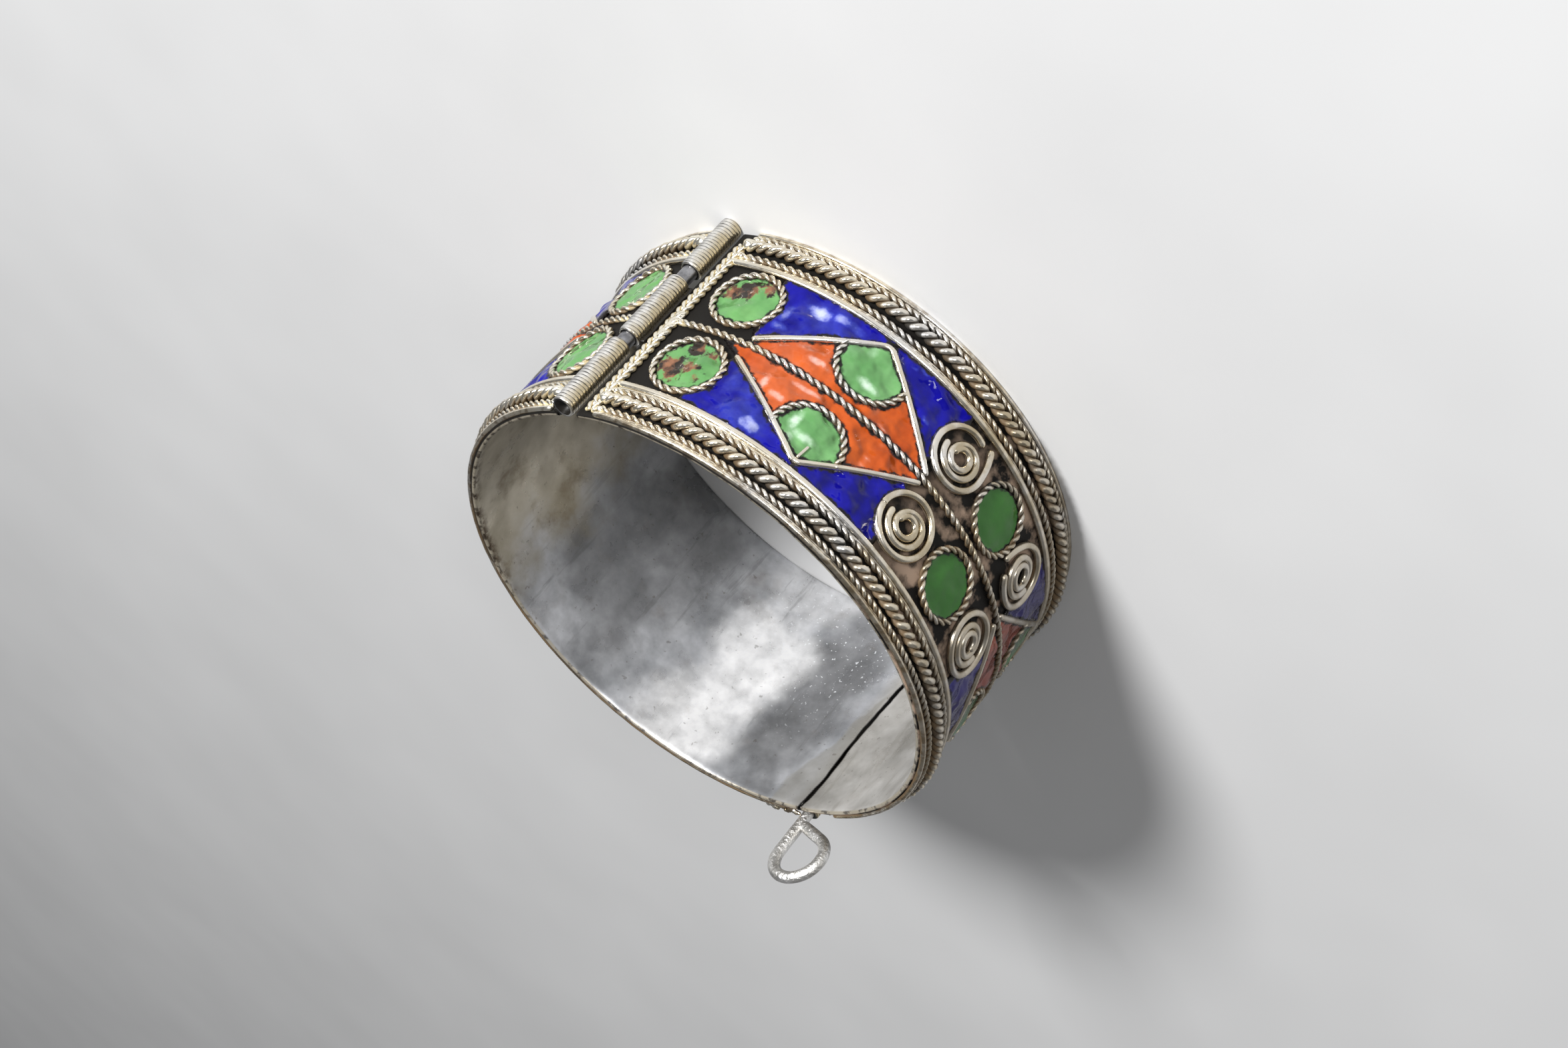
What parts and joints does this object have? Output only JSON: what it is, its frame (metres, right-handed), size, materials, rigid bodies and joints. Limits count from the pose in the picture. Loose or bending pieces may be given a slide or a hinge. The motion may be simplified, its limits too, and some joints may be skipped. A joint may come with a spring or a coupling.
{
  "type": "enamelled silver bracelet",
  "caption": "Hinged silver bracelet in two halves, with twisted wire borders, rings, spirals, rhombuses and green, orange and blue enamel, closed by a pull-out pin.",
  "frame": {"origin": "centre of the wrist opening in the plane of the rim that the bracelet rests on", "axes": "+Z along the wrist, away from the rest plane; -X towards the hinge, +X towards the clasp; the front half is on the +Y side"},
  "size_m": [0.068, 0.0662, 0.042],
  "materials": {
    "silver": "worn silver, tarnished in the recesses",
    "rod_metal": "dull grey",
    "green_enamel": "opaque vitreous enamel",
    "orange_enamel": "opaque vitreous enamel",
    "blue_enamel": "translucent vitreous enamel"
  },
  "bodies": {
    "front_half": {"front_half": "silver", "front_green_disc_1": "green_enamel", "front_green_disc_2": "green_enamel", "front_green_disc_3": "green_enamel", "front_green_disc_4": "green_enamel", "front_green_disc_5": "green_enamel", "front_green_disc_6": "green_enamel", "front_green_cell_1": "green_enamel", "front_green_cell_2": "green_enamel", "front_green_cell_3": "green_enamel", "front_green_cell_4": "green_enamel", "front_orange_1": "orange_enamel", "front_orange_2": "orange_enamel", "front_blue_1": "blue_enamel", "front_blue_2": "blue_enamel"},
    "back_half": {"back_half": "silver", "hinge_rod": "rod_metal", "back_green_disc_1": "green_enamel", "back_green_disc_2": "green_enamel", "back_green_disc_3": "green_enamel", "back_green_disc_4": "green_enamel", "back_green_disc_5": "green_enamel", "back_green_disc_6": "green_enamel", "back_green_cell_1": "green_enamel", "back_green_cell_2": "green_enamel", "back_green_cell_3": "green_enamel", "back_green_cell_4": "green_enamel", "back_orange_1": "orange_enamel", "back_orange_2": "orange_enamel", "back_blue_1": "blue_enamel", "back_blue_2": "blue_enamel"},
    "clasp_pin": {"clasp_pin": "silver"}
  },
  "joints": [
    {"name": "halves_hinge", "type": "hinge", "parent": "front_half", "child": "back_half", "pos_m": [-0.0324, 0, 0], "axis": [0, 0, -1], "range_deg": [0, 100]},
    {"name": "pin_slide", "type": "slide", "parent": "front_half", "child": "clasp_pin", "axis": [0, 0, 1], "range_m": [0, 0.032]}
  ]
}
